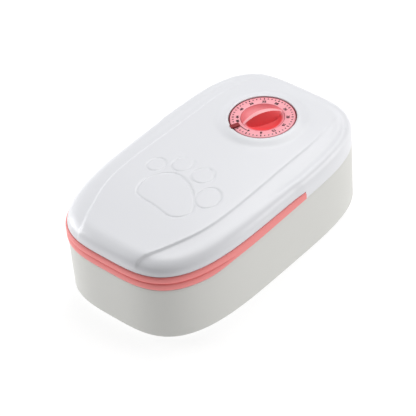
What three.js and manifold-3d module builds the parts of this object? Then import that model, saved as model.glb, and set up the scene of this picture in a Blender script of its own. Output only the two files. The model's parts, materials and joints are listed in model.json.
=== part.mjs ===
// Single meal pet feeder with a dial timer in its hinged lid.
// Millimetres, +Z up, the front of the bowl towards -Y, standing on its rubber feet.
import * as THREE from "three";
import { mergeVertices } from "three/addons/utils/BufferGeometryUtils.js";
import Module from "manifold-3d";

// ---- Overall body -------------------------------------------------------------------------
const halfLength = 120;          // along Y, at the band round the middle
const halfWidth = 72.5;          // along X
const frontFullness = 3.5;       // superellipse power of the front half
const rearFullness = 4.0;        // and of the squarer rear half
const outlineSteps = 44;

// ---- Heights ------------------------------------------------------------------------------
const footHeight = 2;
const bandFrontBottom = 50.8;    // lower edge of the tray's band at the front
const seamHeight = 56.6;         // top of the base behind the tray
const lidEdgeHeight = 63.4;      // lower edge of the lid over the tray
const shoulderHeight = 74.4;      // top of the lid's sides
const fieldHeight = 78.4;        // top of the raised field in the middle of the lid
const bossHeight = 79.8;         // rim round the dial

// ---- Walls and clearances -----------------------------------------------------------------
const gap = 0.3;                 // between pieces that rest on or sit in each other
const liningClearance = 1;       // round the liner, inside the lid's wall
const baseWall = 2.4;
const lidWall = 2.5;
const trayWall = 2.2;
const linerThickness = 1.5;
const baseInset = 0.8;           // the base's wall is this far inside the band
const lidInset = 1.5;            // and the lid's wall this far
const baseRounding = 3;
const lidRounding = 9;

// ---- Tray ---------------------------------------------------------------------------------
const rimWidth = 8;
const bowlFloor = 24;            // height of the bowl's floor inside
const bowlRounding = 11;
const bandRiseStart = 44;        // from the front, the band's lower edge climbs after this much
const bandRiseKnee = 68;         // steeply up to here, then gently to the rear
const bandKneeHeight = 54;
const sealHeight = 1.5;
const sealWidth = 2.5;
const sealSetback = 5.5;         // from the band's outside to the seal

// ---- Hinge --------------------------------------------------------------------------------
const hingeSetback = 1.5;        // axis behind the rear of the band
const knuckleRadius = 3;
const knuckleWebHeight = 7;
const hingePinRadius = 1.5;
const lidKnuckle = [6, 14];      // along X, and mirrored
const baseKnuckle = [14.4, 21];
const endKnuckle = [29, 34];
const springWire = 0.8;
const springCoilRadius = 2.4;
const springTurns = 5;

// ---- Dial ---------------------------------------------------------------------------------
const dialSetback = 55;          // from the rear of the body to the dial's centre
const dialRadius = 26;
const dialPocketDepth = 5;
const bossRadius = 33;
const faceTurn = -24 * Math.PI / 180;   // zero on the dial, from straight forward
const sleeveClearance = 0.4;     // between the dial and the sleeve that lines its pocket
const sleeveWall = 0.5;
const knobRadius = dialRadius - 8.7;
const knobFlange = dialRadius - 2;
const knobFloor = 1.3;
const barWidth = 6;
const barRise = 5;               // the finger bar's crest above the dial
const shaftRadius = 3;
const markerWidth = 4.4;
const markerReach = 6;           // over the dial's edge
const markerThickness = 1.2;

// ---- Timer works, hung under the lid's top ------------------------------------------------
const worksLift = 3.5;           // the timer's plate above the liner
const worksPlateThickness = 1.5;
const worksHalfWidth = 37;
const worksReachFront = 22;      // from the dial's centre to the plate's front edge
const worksReachRear = 26;
const gearModule = 0.84;
const dialTeeth = 40;
const wheelTeeth = 30;
const pinionTeeth = 10;
const wheelDirection = 200 * Math.PI / 180;   // from the dial shaft to the second wheel
const rotorDirection = 120 * Math.PI / 180;   // from the second wheel to the rotor
const secondWheelLift = 2.5;     // each above the timer's plate
const dialGearLift = 5.5;
const magnetLift = 8.2;
const camLift = 7.8;
const gearThickness = 2;
const arborRadius = 1;
const camRadius = 12;
const camNotch = 3;

// ---- Latch --------------------------------------------------------------------------------
const boltHalfWidth = 4;
const boltSetback = 3.6;         // the bolt's leg in front of the timer's plate
const boltThickness = 3;
const boltFootReach = 3;
const boltFootDrop = 6.2;        // below the seam
const boltTravel = 3;
const latchSpringLength = 3.3;
const bulkheadSetback = 10;      // the wall behind the tray, in front of the bolt's leg
const trayClearance = 1;         // from the tray to that wall

// ---- Battery ------------------------------------------------------------------------------
const batteryRadius = 7.1;
const batteryHalfLength = 24.6;
const batterySetback = 8.4;      // behind the timer's plate
const batteryLift = 9.1;         // above the liner
const doorHalfWidth = 26.7;
const doorHalfDepth = 8;

// ---- Screws -------------------------------------------------------------------------------
const screwRadius = 1.2;
const screwHeadRadius = 2.4;
const screwHeadHeight = 1.2;
const postRadius = 3.4;

// ---- Worked out from the above ------------------------------------------------------------
const dialY = halfLength - dialSetback;
const worksFront = dialY - worksReachFront;
const worksRear = dialY + worksReachRear;
const boltY = worksFront - boltSetback;
const latchSpringStart = boltY + boltThickness + gap;
const bulkheadY = boltY - bulkheadSetback;
const trayRear = bulkheadY - trayClearance;
const hingeY = halfLength + hingeSetback;
const hingeZ = seamHeight;
const hingeReach = hingeSetback + knuckleRadius;
const trayTop = lidEdgeHeight - gap;
const linerFrontZ = lidEdgeHeight + sealHeight + gap;
const linerRearZ = seamHeight + gap;
const worksPlateZ = linerRearZ + worksLift;
const secondWheelZ = worksPlateZ + secondWheelLift;
const dialGearZ = worksPlateZ + dialGearLift;
const magnetTop = worksPlateZ + magnetLift;
const camZ = worksPlateZ + camLift;
const boltFootZ = seamHeight - boltFootDrop;
const batteryY = worksRear + batterySetback;
const batteryZ = linerRearZ + batteryLift;
const doorFront = batteryY - doorHalfDepth;
const doorRear = batteryY + doorHalfDepth;
const cavityTop = shoulderHeight - lidWall;
const worksCeiling = fieldHeight - lidWall - 1.8;
const dialCeiling = bossHeight - dialPocketDepth - lidWall;
const pocketFloor = bossHeight - dialPocketDepth;
const bulkheadTop = seamHeight - 1.2;
const liningInset = lidInset + lidWall + liningClearance;
const pocketRadius = dialRadius + sleeveClearance + sleeveWall + gap;
const dialPitchRadius = gearModule * dialTeeth / 2;
const wheelPitchRadius = gearModule * wheelTeeth / 2;
const pinionPitchRadius = gearModule * pinionTeeth / 2;
const wheelX = (dialPitchRadius + pinionPitchRadius) * Math.cos(wheelDirection);
const wheelY = dialY + (dialPitchRadius + pinionPitchRadius) * Math.sin(wheelDirection);
const rotorX = wheelX + (wheelPitchRadius + pinionPitchRadius) * Math.cos(rotorDirection);
const rotorY = wheelY + (wheelPitchRadius + pinionPitchRadius) * Math.sin(rotorDirection);
const far = 2 * (halfLength + halfWidth);     // larger than the whole object, for cutting away

const wasm = await Module();
wasm.setup();

// ---- Solids: three.js shapes, joined and cut ----------------------------------------------
function toSolid(geometry) {
  const bare = geometry.clone();
  bare.deleteAttribute("normal");
  bare.deleteAttribute("uv");
  const merged = mergeVertices(bare, 1e-4);
  const vertProperties = new Float32Array(merged.attributes.position.array);
  const triVerts = new Uint32Array(merged.index.array);
  return new wasm.Manifold(new wasm.Mesh({ numProp: 3, vertProperties, triVerts }));
}

function toGeometry(solid) {
  const mesh = solid.getMesh();
  const geometry = new THREE.BufferGeometry();
  geometry.setAttribute("position", new THREE.BufferAttribute(mesh.vertProperties, 3));
  geometry.setIndex(new THREE.BufferAttribute(mesh.triVerts, 1));
  geometry.computeVertexNormals();
  return geometry;
}

function join(first, ...others) {
  return others.reduce((whole, piece) => whole.add(piece), first);
}

function cut(first, ...others) {
  return others.reduce((whole, piece) => whole.subtract(piece), first);
}

function block(x, y, z) {
  const geometry = new THREE.BoxGeometry(x[1] - x[0], y[1] - y[0], z[1] - z[0]);
  geometry.translate((x[0] + x[1]) / 2, (y[0] + y[1]) / 2, (z[0] + z[1]) / 2);
  return toSolid(geometry);
}

function uprightRod(radius, x, y, z, sides = 16) {
  const geometry = new THREE.CylinderGeometry(radius, radius, z[1] - z[0], sides);
  geometry.rotateX(Math.PI / 2);
  geometry.translate(x, y, (z[0] + z[1]) / 2);
  return toSolid(geometry);
}

function crossRod(radius, x, y, z, sides = 16) {
  const geometry = new THREE.CylinderGeometry(radius, radius, x[1] - x[0], sides);
  geometry.rotateZ(Math.PI / 2);
  geometry.translate((x[0] + x[1]) / 2, y, z);
  return toSolid(geometry);
}

// A flat shape raised from z[0] to z[1], its two edges rounded by rounding where one is given.
function slab(shape, z, rounding = 0, roundingSegments = 3) {
  const geometry = new THREE.ExtrudeGeometry(shape, {
    depth: z[1] - z[0] - 2 * rounding,
    bevelEnabled: rounding > 0,
    bevelThickness: rounding,
    bevelSize: rounding,
    bevelOffset: -rounding,
    bevelSegments: roundingSegments,
  });
  geometry.translate(0, 0, z[0] + rounding);
  return toSolid(geometry);
}

// A profile in Y and Z carried across the whole width.
function acrossWidth(corners) {
  const shape = new THREE.Shape(corners.map(([y, z]) => new THREE.Vector2(y, z)));
  const geometry = new THREE.ExtrudeGeometry(shape, { depth: far, bevelEnabled: false });
  geometry.rotateY(Math.PI / 2);
  geometry.rotateX(Math.PI / 2);
  geometry.translate(-far / 2, 0, 0);
  return toSolid(geometry);
}

function turned(profile, x, y, segments = 32) {
  const points = profile.map(([radius, height]) => new THREE.Vector2(radius, height));
  const geometry = new THREE.LatheGeometry(points, segments);
  geometry.rotateX(Math.PI / 2);
  geometry.translate(x, y, 0);
  return toSolid(geometry);
}

// ---- Outlines -----------------------------------------------------------------------------
// Half width of the body at a place along Y.
function widthAt(y, inset) {
  const fullness = y < 0 ? frontFullness : rearFullness;
  const share = Math.min(Math.abs(y) / (halfLength - inset), 1);
  return (halfWidth - inset) * (1 - share ** fullness) ** (1 / fullness);
}

// The body seen from above, moved inwards by inset, and cut square at rearLimit if it is given.
function bodyOutline(inset, rearLimit = far) {
  const points = [];
  for (let step = 0; step < outlineSteps; step += 1) {
    const angle = Math.PI / 2 + (2 * Math.PI * step) / outlineSteps;
    const c = Math.cos(angle);
    const s = Math.sin(angle);
    const power = 2 / (s < 0 ? frontFullness : rearFullness);
    const x = (halfWidth - inset) * Math.sign(c) * Math.abs(c) ** power;
    const y = (halfLength - inset) * Math.sign(s) * Math.abs(s) ** power;
    if (y < rearLimit - gap) {
      points.push(new THREE.Vector2(x, y));
    }
  }
  if (rearLimit < halfLength - inset) {
    points.push(new THREE.Vector2(widthAt(rearLimit, inset), rearLimit));
    points.unshift(new THREE.Vector2(-widthAt(rearLimit, inset), rearLimit));
  }
  return points;
}

function bodyShape(inset, rearLimit) {
  return new THREE.Shape(bodyOutline(inset, rearLimit));
}

// The raised field of the lid, its points in shares of the half width and half length: narrow
// at the front rim, widest in the middle, and closed behind the dial.
function fieldShape(inset) {
  const half = [
    [0, -0.979], [0.276, -0.962], [0.414, -0.908], [0.524, -0.717],
    [0.614, -0.525], [0.669, -0.283], [0.672, 0], [0.659, 0.283], [0.634, 0.5],
    [0.593, 0.717], [0.455, 0.858], [0.248, 0.917], [0, 0.933],
  ];
  const right = half.map(([x, y]) => (
    new THREE.Vector2(Math.max(x * halfWidth - inset, 0), y * halfLength)));
  right[0].y += inset;
  right[right.length - 1].y -= inset;
  const left = right.slice(1, -1).reverse().map((point) => new THREE.Vector2(-point.x, point.y));
  const loop = [...right, ...left, right[0]];
  const points = new THREE.SplineCurve(loop).getPoints(44);
  points.pop();
  return new THREE.Shape(points);
}

// ---- Base ---------------------------------------------------------------------------------
const footRadius = 7;
const footStemRadius = 2.5;
const footSide = 20;             // from the body's side, and from its ends, to a foot's centre
const footEnd = 38;
const footPlaces = [
  ["foot_front_left", -1, footEnd - halfLength], ["foot_front_right", 1, footEnd - halfLength],
  ["foot_rear_left", -1, halfLength - footEnd], ["foot_rear_right", 1, halfLength - footEnd],
].map(([name, side, y]) => [name, side * (widthAt(y, 0) - footSide), y]);

// Everything above the base's upper edge, or above the band's lower edge when lift is 0.
function aboveBase(lift) {
  return acrossWidth([
    [-far / 2, bandFrontBottom + lift], [bandRiseStart - halfLength, bandFrontBottom + lift],
    [bandRiseKnee - halfLength, bandKneeHeight + lift], [trayRear, seamHeight + lift],
    [far / 2, seamHeight + lift], [far / 2, far], [-far / 2, far],
  ]);
}

// Barrels on the hinge's axis, each with a web that joins it to the wall in front of it.
function hingeKnuckles(ranges, web) {
  return ranges.flatMap(([from, to]) => [[from, to], [-to, -from]]).map((x) => join(
    crossRod(knuckleRadius, x, hingeY, hingeZ),
    block(x, [halfLength - 10, hingeY + 1], web),
  ));
}

// The room that the other half's barrels turn in.
function hingeSweep(ranges) {
  return ranges.flatMap(([from, to]) => [[from, to], [-to, -from]]).map(([from, to]) => (
    crossRod(knuckleRadius + gap, [from - gap, to + gap], hingeY, hingeZ)));
}

function pinBore() {
  return crossRod(hingePinRadius + gap, [-far / 2, far / 2], hingeY, hingeZ);
}

function baseShell() {
  const outer = slab(bodyShape(baseInset), [footHeight, far / 4], baseRounding);
  const hollowRounding = baseRounding - baseWall;
  const hollow = slab(bodyShape(baseInset + baseWall), [footHeight + baseWall, far / 4], hollowRounding);
  const bulkhead = block([-far, far], [bulkheadY, bulkheadY + baseWall], [footHeight, bulkheadTop]);
  const inside = slab(bodyShape(baseInset + baseWall / 2), [footHeight + 1, far / 4], baseRounding);
  const stems = footPlaces.map(([, x, y]) => uprightRod(footStemRadius + gap, x, y, [0, footHeight + 8]));
  const trimmed = cut(outer, hollow, aboveBase(0));
  const knuckles = hingeKnuckles([baseKnuckle, endKnuckle], [hingeZ - knuckleWebHeight, hingeZ - gap]);
  const outside = knuckles.map((knuckle) => cut(knuckle, hollow));
  const lidSweep = hingeSweep([lidKnuckle]);
  const strikerScrews = strikerScrewX.map((x) => alongY(screwRadius + gap, x, strikerScrewZ,
    [bulkheadY - 1, bulkheadY + baseWall + 1]));
  return cut(join(trimmed, bulkhead.intersect(inside), ...outside), ...stems, ...lidSweep, pinBore(),
    ...strikerScrews);
}

function foot(x, y) {
  const neck = footHeight + baseWall;
  return turned([
    [0, 0], [footRadius - 0.6, 0], [footRadius, 0.6], [footRadius, footHeight - gap],
    [footStemRadius, footHeight - gap], [footStemRadius, neck + gap], [footStemRadius + 0.9, neck + gap],
    [footStemRadius + 0.5, neck + 1.6], [0, neck + 1.6],
  ], x, y, 20);
}

// ---- Food tray and its band ---------------------------------------------------------------
function foodTray() {
  const band = slab(bodyShape(0, trayRear), [footHeight, trayTop]);
  const bowlOuter = slab(bodyShape(rimWidth - trayWall, trayRear - rimWidth + trayWall),
    [bowlFloor - trayWall, trayTop + bowlRounding], bowlRounding + trayWall);
  const bowlInner = slab(bodyShape(rimWidth, trayRear - rimWidth), [bowlFloor, far / 4], bowlRounding);
  const below = block([-far, far], [-far, far], [0, trayTop]);
  return cut(join(band.intersect(aboveBase(gap)), bowlOuter.intersect(below)), bowlInner);
}

// ---- Lid ----------------------------------------------------------------------------------
const linerScrewSetback = 9;     // inside the liner's edge
const linerScrewPlaces = [50 - halfLength, dialY - 57, halfLength - 28].flatMap((y) => (
  [-1, 1].map((side) => [side * (widthAt(y, liningInset) - linerScrewSetback), y])));
const worksScrewPlaces = [worksFront + 4, worksRear - 3.5].flatMap((y) => (
  [-1, 1].map((side) => [side * (worksHalfWidth - 4), y])));

function underLid() {
  return block([-far, far], [-far, trayRear + gap], [-far, lidEdgeHeight]);
}

function lidPosts() {
  const linerPosts = linerScrewPlaces.map(([x, y]) => {
    const low = (y < trayRear ? linerFrontZ : linerRearZ) + linerThickness + gap;
    return uprightRod(postRadius, x, y, [low, cavityTop + 1]);
  });
  const worksPosts = worksScrewPlaces.map(([x, y]) => (
    uprightRod(postRadius, x, y, [worksPlateZ + worksPlateThickness + gap, worksCeiling + 1])));
  return [...linerPosts, ...worksPosts];
}

function lidScrewHoles() {
  return [...linerScrewPlaces, ...worksScrewPlaces].map(([x, y]) => (
    uprightRod(screwRadius + gap, x, y, [0, cavityTop - 1])));
}

function batteryWall() {
  const rear = batteryY + batteryRadius + 1.2;
  return block([-doorHalfWidth, doorHalfWidth], [rear, rear + 1.2], [linerRearZ + 3, worksCeiling + 1]);
}

function lidShell() {
  const outer = slab(bodyShape(lidInset), [linerRearZ - 2 * lidRounding, shoulderHeight], lidRounding);
  const field = slab(fieldShape(0), [cavityTop, fieldHeight], 2, 2);
  const boss = turned([
    [0, cavityTop], [bossRadius + 5, cavityTop], [bossRadius + 3, fieldHeight - 1.5],
    [bossRadius, fieldHeight - 0.4], [pocketRadius + 2.4, bossHeight - 0.3], [pocketRadius + 1, bossHeight],
    [0, bossHeight],
  ], 0, dialY, 32);
  const cavity = slab(bodyShape(lidInset + lidWall), [linerRearZ - 30, cavityTop], lidRounding - 2);
  const highRoom = slab(fieldShape(4), [cavityTop - 4, worksCeiling]);
  const pocketPlate = uprightRod(dialRadius + lidWall, 0, dialY, [dialCeiling, far], 32);
  const rearOnly = block([-far, far], [worksFront - 4, far], [0, far]);
  const pocket = uprightRod(pocketRadius, 0, dialY, [pocketFloor, far], 40);
  const shaftHole = uprightRod(shaftRadius + gap, 0, dialY, [dialCeiling - 1, far], 20);
  const markerSeat = onFace(block([-markerWidth / 2 - gap, markerWidth / 2 + gap],
    [-markerOuter - gap, gap - markerInner], [bossHeight - 2.8, far]));
  const knuckles = hingeKnuckles([lidKnuckle], [hingeZ + gap, hingeZ + knuckleWebHeight]);
  const hinged = cut(join(...knuckles), cavity);
  const belowRear = block([-far, far], [0, hingeY - knuckleRadius], [-far, linerRearZ]);
  const shell = cut(join(outer, field, boss), cavity, highRoom.intersect(rearOnly).subtract(pocketPlate),
    underLid());
  const closed = cut(shell, block([-far, far], [0, far], [-far, linerRearZ]));
  const baseSweep = hingeSweep([[baseKnuckle[0], endKnuckle[1]]]);
  const whole = join(closed, cut(hinged, belowRear), ...lidPosts(), batteryWall());
  return cut(whole, pocket, shaftHole, markerSeat, ...lidScrewHoles(), pinBore(), ...baseSweep);
}

// ---- Liner under the lid: a front plate over the tray, a step, and a rear plate ------------
function lidLiner() {
  const stepY = trayRear + 1.5;
  const frontTop = linerFrontZ + linerThickness;
  const front = slab(bodyShape(liningInset, stepY + linerThickness), [linerFrontZ, frontTop]);
  const rear = cut(slab(bodyShape(liningInset), [linerRearZ, linerRearZ + linerThickness]),
    block([-far, far], [-far, stepY], [0, far]));
  const step = slab(bodyShape(liningInset, stepY + linerThickness), [linerRearZ, linerFrontZ + 1])
    .subtract(block([-far, far], [-far, stepY], [0, far]));
  const bolt = block([-boltHalfWidth - gap, boltHalfWidth + gap],
    [boltY - boltFootReach - boltTravel - gap, boltY + boltThickness + gap], [0, far]);
  const doorRoom = doorHalfWidth + gap;
  const stubRoom = doorHalfWidth + 1.8;
  const door = block([-doorRoom, doorRoom], [doorFront - 0.7, doorRear + gap], [0, far]);
  const stubs = block([-stubRoom, stubRoom], [doorFront - 0.7, doorFront + 2.2], [0, far]);
  const holes = linerScrewPlaces.map(([x, y]) => uprightRod(screwRadius + gap, x, y, [0, far]));
  return cut(join(front, rear, step), bolt, door, stubs, ...holes);
}

function lidSeal() {
  const rear = trayRear - sealSetback;
  const shape = bodyShape(sealSetback, rear);
  shape.holes.push(new THREE.Path(bodyOutline(sealSetback + sealWidth, rear - sealWidth)));
  return slab(shape, [lidEdgeHeight, lidEdgeHeight + sealHeight]);
}

// ---- Screws -------------------------------------------------------------------------------
// A pan head screw that points up from its seat.
function uprightScrew(x, y, seat, length) {
  return turned([
    [0, seat - gap - screwHeadHeight], [screwHeadRadius - 0.5, seat - gap - screwHeadHeight],
    [screwHeadRadius, seat - gap - 0.5], [screwHeadRadius, seat - gap], [screwRadius, seat - gap],
    [screwRadius, seat + length - 0.8], [0, seat + length],
  ], x, y, 12);
}

function alongY(radius, x, z, y, sides = 12) {
  const geometry = new THREE.CylinderGeometry(radius, radius, y[1] - y[0], sides);
  geometry.translate(x, (y[0] + y[1]) / 2, z);
  return toSolid(geometry);
}

// ---- Hinge pin and springs ----------------------------------------------------------------
function hingePin() {
  return crossRod(hingePinRadius, [-endKnuckle[1], endKnuckle[1]], hingeY, hingeZ);
}

// A closed coil spring round an axis along X, from start to end.
function coilSpring(start, end, y, z, coilRadius, wire, turns) {
  const points = [];
  const stepsPerTurn = 8;
  const pitch = (end - start - wire) / turns;
  for (let step = 0; step <= turns * stepsPerTurn; step += 1) {
    const angle = (2 * Math.PI * step) / stepsPerTurn;
    const x = start + wire / 2 + (pitch * step) / stepsPerTurn;
    points.push(new THREE.Vector3(x, y + coilRadius * Math.cos(angle), z + coilRadius * Math.sin(angle)));
  }
  const section = new THREE.Shape();
  section.absarc(0, 0, wire / 2, 0, 2 * Math.PI, false);
  const path = new THREE.CatmullRomCurve3(points);
  return toSolid(new THREE.ExtrudeGeometry(section, {
    extrudePath: path, steps: turns * stepsPerTurn, curveSegments: 3, bevelEnabled: false,
  }));
}

// ---- Dial ---------------------------------------------------------------------------------
const dialTop = bossHeight + 0.2;
const dialUnder = pocketFloor + gap;
const markerInner = pocketRadius + 0.6;
const markerOuter = markerInner + 2.4;

// Moves a solid made round the origin, with zero towards -Y, onto the dial.
function onFace(solid) {
  const geometry = toGeometry(solid);
  geometry.rotateZ(faceTurn);
  geometry.translate(0, dialY, 0);
  return toSolid(geometry);
}

function dialRing() {
  const inner = knobRadius + gap;
  const step = dialUnder + knobFloor + gap;
  return turned([
    [inner, step], [knobFlange + gap, step], [knobFlange + gap, dialUnder], [dialRadius - 0.4, dialUnder],
    [dialRadius, dialUnder + 0.4], [dialRadius, dialTop - 0.6], [dialRadius - 0.6, dialTop],
    [inner, dialTop], [inner, step],
  ], 0, dialY, 40);
}

function dialSleeve() {
  const inner = dialRadius + sleeveClearance;
  const low = pocketFloor + gap;
  const high = bossHeight - 0.4;
  return turned([
    [inner, low], [inner + sleeveWall, low], [inner + sleeveWall, high], [inner, high], [inner, low],
  ], 0, dialY, 40);
}

// A dished knob with an arched bar across it to turn it by.
function dialKnob() {
  const floor = dialUnder + knobFloor;
  const dish = turned([
    [0, dialUnder], [knobFlange, dialUnder], [knobFlange, floor], [knobRadius, floor],
    [knobRadius, dialTop - 0.2], [knobRadius - 0.8, dialTop - 0.2], [knobRadius - 3.5, floor + 1],
    [8, floor], [0, floor],
  ], 0, 0, 36);
  const half = knobRadius - 0.6;
  const arch = new THREE.Shape();
  arch.moveTo(-half, floor - 0.5);
  arch.lineTo(-half, dialTop - 0.6);
  arch.quadraticCurveTo(0, dialTop + 2 * barRise, half, dialTop - 0.6);
  arch.lineTo(half, floor - 0.5);
  const geometry = new THREE.ExtrudeGeometry(arch, {
    depth: barWidth - 2, bevelEnabled: true, bevelThickness: 1, bevelSize: 1, bevelOffset: -1,
    bevelSegments: 1, curveSegments: 12,
  });
  geometry.translate(0, 0, 1 - barWidth / 2);
  geometry.rotateX(Math.PI / 2);
  geometry.rotateZ(Math.PI / 2);
  return onFace(join(dish, toSolid(geometry)));
}

// A tab in the lid that reaches over the dial's edge.
function pointerMarker() {
  const x = [-markerWidth / 2, markerWidth / 2];
  const under = dialTop + gap;
  const tab = block(x, [-markerOuter, markerReach - dialRadius], [under, under + markerThickness]);
  const stem = block(x, [-markerOuter, -markerInner], [bossHeight - 2.8 + gap, under + 0.5]);
  return onFace(join(tab, stem));
}

function dialShaft() {
  return uprightRod(shaftRadius, 0, dialY, [worksPlateZ + gap, pocketFloor], 20);
}

// ---- Gears --------------------------------------------------------------------------------
function gearShape(teeth, boreRadius) {
  const pitchRadius = (gearModule * teeth) / 2;
  const tip = pitchRadius + 0.7 * gearModule;
  const root = pitchRadius - 1.1 * gearModule;
  const toothAngle = (2 * Math.PI) / teeth;
  const points = [];
  for (let tooth = 0; tooth < teeth; tooth += 1) {
    for (const [radius, offset] of [[root, -0.27], [tip, -0.12], [tip, 0.12], [root, 0.27]]) {
      const angle = (tooth + offset) * toothAngle;
      points.push(new THREE.Vector2(radius * Math.cos(angle), radius * Math.sin(angle)));
    }
  }
  const shape = new THREE.Shape(points);
  if (boreRadius > 0) {
    const bore = new THREE.Path();
    bore.absarc(0, 0, boreRadius, 0, 2 * Math.PI, true);
    shape.holes.push(bore);
  }
  return shape;
}

// A spur gear with a tooth pointing along phase.
function gear(teeth, boreRadius, x, y, z, phase) {
  const geometry = new THREE.ExtrudeGeometry(gearShape(teeth, boreRadius), {
    depth: z[1] - z[0], bevelEnabled: false, curveSegments: 8,
  });
  geometry.rotateZ(phase);
  geometry.translate(x, y, z[0]);
  return toSolid(geometry);
}

function dialGear() {
  const z = [dialGearZ, dialGearZ + gearThickness];
  return gear(dialTeeth, shaftRadius + gap, 0, dialY, z, wheelDirection);
}

function secondWheel() {
  const pinionPhase = wheelDirection + Math.PI + Math.PI / pinionTeeth;
  const bore = arborRadius + gap;
  const wheel = gear(wheelTeeth, bore, wheelX, wheelY,
    [secondWheelZ, secondWheelZ + gearThickness], rotorDirection);
  const pinion = gear(pinionTeeth, bore, wheelX, wheelY,
    [secondWheelZ + gearThickness - 0.2, dialGearZ + gearThickness + 0.3], pinionPhase);
  return join(wheel, pinion);
}

function rotor() {
  const phase = rotorDirection + Math.PI + Math.PI / pinionTeeth;
  const pinion = gear(pinionTeeth, 0, rotorX, rotorY,
    [secondWheelZ - 0.3, secondWheelZ + gearThickness + 0.3], phase);
  const magnet = uprightRod(4, rotorX, rotorY, [secondWheelZ + gearThickness + 0.2, magnetTop], 20);
  const pivot = uprightRod(arborRadius - 0.2, rotorX, rotorY, [worksPlateZ + gap, magnetTop + 1.2], 10);
  return join(pinion, magnet, pivot);
}

function releaseCam() {
  const shape = new THREE.Shape();
  const half = 0.5;
  shape.absarc(0, 0, camRadius, -Math.PI / 2 + half, 1.5 * Math.PI - half, false);
  shape.lineTo((camNotch - camRadius) * Math.sin(half * 0.7), (camNotch - camRadius) * Math.cos(half * 0.7));
  shape.lineTo((camRadius - camNotch) * Math.sin(half * 0.7), (camNotch - camRadius) * Math.cos(half * 0.7));
  const bore = new THREE.Path();
  bore.absarc(0, 0, shaftRadius + gap, 0, 2 * Math.PI, true);
  shape.holes.push(bore);
  const depth = gearThickness + 0.5;
  const geometry = new THREE.ExtrudeGeometry(shape, { depth, bevelEnabled: false, curveSegments: 24 });
  geometry.translate(0, dialY, camZ);
  return toSolid(geometry);
}

// ---- Timer works --------------------------------------------------------------------------
function worksPlate() {
  const top = worksPlateZ + worksPlateThickness;
  const plate = block([-worksHalfWidth, worksHalfWidth], [worksFront, worksRear], [worksPlateZ, top]);
  const holes = worksScrewPlaces.map(([x, y]) => uprightRod(screwRadius + gap, x, y, [0, far]));
  return cut(plate, ...holes, uprightRod(shaftRadius + gap, 0, dialY, [0, far], 20),
    uprightRod(arborRadius + gap, rotorX, rotorY, [0, far], 12),
    uprightRod(arborRadius + gap, wheelX, wheelY, [0, far], 12));
}

function wheelArbor() {
  return uprightRod(arborRadius, wheelX, wheelY, [worksPlateZ, camZ], 12);
}

const boardZ = worksPlateZ + worksPlateThickness + gap;
const boardThickness = 1.2;
const boardTop = boardZ + boardThickness;

function circuitBoard() {
  return block([8, 35], [dialY - 11, dialY + 18], [boardZ, boardTop]);
}

function timerChip() {
  return uprightRod(3.2, 26, dialY + 1, [boardTop + gap, boardTop + 1.6], 16);
}

function quartzCrystal() {
  return crossRod(1.5, [22, 30], dialY + 11, boardTop + gap + 1.5, 14);
}

const coilY = dialY + 18;
const coilZ = magnetTop - 1.6;
const coreHalfWidth = 1.2;
const coreHalfHeight = 1;

function statorPlate() {
  const plate = block([rotorX - 7.5, rotorX + 7.5], [rotorY - 7, rotorY + 7], [coilZ - 0.7, coilZ + 0.7]);
  return cut(plate, uprightRod(4 + 2 * gap, rotorX, rotorY, [0, far], 20));
}

function coilCore() {
  return block([rotorX - 4, rotorX + 20], [coilY - coreHalfWidth, coilY + coreHalfWidth],
    [coilZ - coreHalfHeight, coilZ + coreHalfHeight]);
}

function motorCoil() {
  const outside = crossRod(3.4, [rotorX + 1, rotorX + 16], coilY, coilZ, 20);
  const bore = block([-far, far], [coilY - coreHalfWidth - gap, coilY + coreHalfWidth + gap],
    [coilZ - coreHalfHeight - gap, coilZ + coreHalfHeight + gap]);
  return cut(outside, bore);
}

// ---- Latch --------------------------------------------------------------------------------
const strikerScrewX = [-6.6, 6.6];
const strikerScrewZ = boltFootZ - 4;
const strikerY = bulkheadY + baseWall + gap;
const strikerThickness = 1;

function latchBolt() {
  const x = [-boltHalfWidth, boltHalfWidth];
  const legTop = camZ + gearThickness;
  const leg = block(x, [boltY, boltY + boltThickness], [boltFootZ, legTop]);
  const footPiece = block(x, [boltY - boltFootReach, boltY + 1], [boltFootZ, boltFootZ + 2.5]);
  const arm = block(x, [boltY, dialY - camRadius - 3], [legTop - 2, legTop]);
  const tip = block([-1.6, 1.6], [dialY - camRadius - 4, dialY - camRadius - gap], [legTop - 2, legTop]);
  return join(leg, footPiece, arm, tip);
}

function latchStriker() {
  const top = bulkheadTop - gap;
  const plate = block([-10, 10], [strikerY, strikerY + strikerThickness], [strikerScrewZ - 4, top]);
  const lip = block([-7, 7], [strikerY, boltY - boltFootReach - 0.8], [boltFootZ + 2.5 + gap, top]);
  const holes = strikerScrewX.map((x) => alongY(screwRadius + gap, x, strikerScrewZ, [0, far]));
  return cut(join(plate, lip), ...holes);
}

function latchSpring() {
  const along = [latchSpringStart, latchSpringStart + latchSpringLength];
  const geometry = toGeometry(coilSpring(...along, 0, 0, 1.6, 0.6, 4));
  geometry.rotateZ(Math.PI / 2);
  geometry.translate(0, 0, camZ - 4);
  return toSolid(geometry);
}

function strikerScrew(x) {
  const seat = strikerY + strikerThickness + gap;
  return join(alongY(screwHeadRadius, x, strikerScrewZ, [seat, seat + screwHeadHeight]),
    alongY(screwRadius, x, strikerScrewZ, [bulkheadY - 3, seat + 0.5]));
}

// ---- Battery ------------------------------------------------------------------------------
function battery() {
  return join(crossRod(batteryRadius, [-batteryHalfLength, batteryHalfLength], batteryY, batteryZ, 24),
    crossRod(2.7, [batteryHalfLength - 1, batteryHalfLength + 1.3], batteryY, batteryZ, 16));
}

function plusContact() {
  const x = batteryHalfLength + 1.3 + gap;
  return block([x, x + 0.8], [batteryY - 5, batteryY + 5], [batteryZ - 5, batteryZ + 5]);
}

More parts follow.
